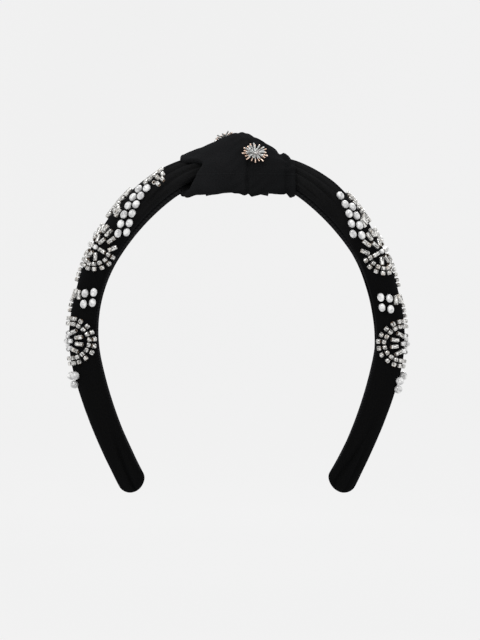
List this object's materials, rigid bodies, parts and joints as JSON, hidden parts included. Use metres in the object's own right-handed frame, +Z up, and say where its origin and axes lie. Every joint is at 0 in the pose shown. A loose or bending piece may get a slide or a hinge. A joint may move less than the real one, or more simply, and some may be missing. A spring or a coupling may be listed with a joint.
{
  "type": "headband",
  "caption": "Padded fabric headband with a knotted crown, tapered springy arms, oval pearls, seed and bugle bead rosettes and small starburst ornaments.",
  "frame": {"origin": "centre of the round head space that the two arms grip, level with the temples", "axes": "+Z up through the middle of the crown, Y from front (-Y, the side with the brooch) to back along the grip's axis, +X towards the arm on the right in a front view"},
  "size_m": [0.1495, 0.0474, 0.1572],
  "materials": {
    "black_crepe": "matte crepe weave",
    "lining_ribbon": "soft ribbed ribbon",
    "core_plastic": "plain moulded",
    "padding_foam": "soft open foam",
    "pearl": "pearl coat",
    "seed_glass": "silver lined glass",
    "bugle_glass": "silver lined glass",
    "crystal": "cut glass",
    "silver_metal": "polished",
    "gold_metal": "polished rose gold",
    "thread": "fine thread"
  },
  "bodies": {
    "crown": {"core_crown": "core_plastic", "foam_crown": "padding_foam", "knot_left_loop": "black_crepe", "knot_right_loop": "black_crepe", "knot_lining": "lining_ribbon", "front_star_base": "silver_metal", "front_star_gold_rays": "gold_metal", "front_star_silver_rays": "silver_metal", "front_star_crystals": "crystal", "rear_star_base": "silver_metal", "rear_star_gold_rays": "gold_metal", "rear_star_silver_rays": "silver_metal", "rear_star_crystals": "crystal"},
    "left_arm": {"core_left": "core_plastic", "foam_left": "padding_foam", "cover_left": "black_crepe", "lining_left": "lining_ribbon", "knot_cluster_left": "seed_glass", "pearl_rows_left": "pearl", "crest_leaf_left": "seed_glass", "bugle_block_left": "bugle_glass", "seed_chains_left": "seed_glass", "chain_threads_left": "thread", "upper_rosette_seeds_left": "seed_glass", "upper_rosette_bugles_left": "bugle_glass", "pearl_squares_left": "pearl", "fan_bugles_left": "bugle_glass", "lower_rosette_seeds_left": "seed_glass", "lower_rosette_bugles_left": "bugle_glass", "rosette_centres_left": "pearl", "end_pearls_left": "pearl"},
    "right_arm": {"core_right": "core_plastic", "foam_right": "padding_foam", "cover_right": "black_crepe", "lining_right": "lining_ribbon", "pearl_rows_right": "pearl", "crest_leaf_right": "seed_glass", "bugle_block_right": "bugle_glass", "seed_chains_right": "seed_glass", "chain_threads_right": "thread", "upper_rosette_seeds_right": "seed_glass", "upper_rosette_bugles_right": "bugle_glass", "pearl_squares_right": "pearl", "fan_bugles_right": "bugle_glass", "lower_rosette_seeds_right": "seed_glass", "lower_rosette_bugles_right": "bugle_glass", "rosette_centres_right": "pearl", "end_pearls_right": "pearl"}
  },
  "joints": [
    {"name": "left_arm_flex", "type": "hinge", "parent": "crown", "child": "left_arm", "pos_m": [-0.0253, 0, 0.0621], "axis": [0, 1, 0], "range_deg": [-2, 8], "stiffness_Nm_per_rad": 1.6},
    {"name": "right_arm_flex", "type": "hinge", "parent": "crown", "child": "right_arm", "pos_m": [0.0253, 0, 0.0621], "axis": [0, -1, 0], "range_deg": [-2, 8], "stiffness_Nm_per_rad": 1.6}
  ]
}
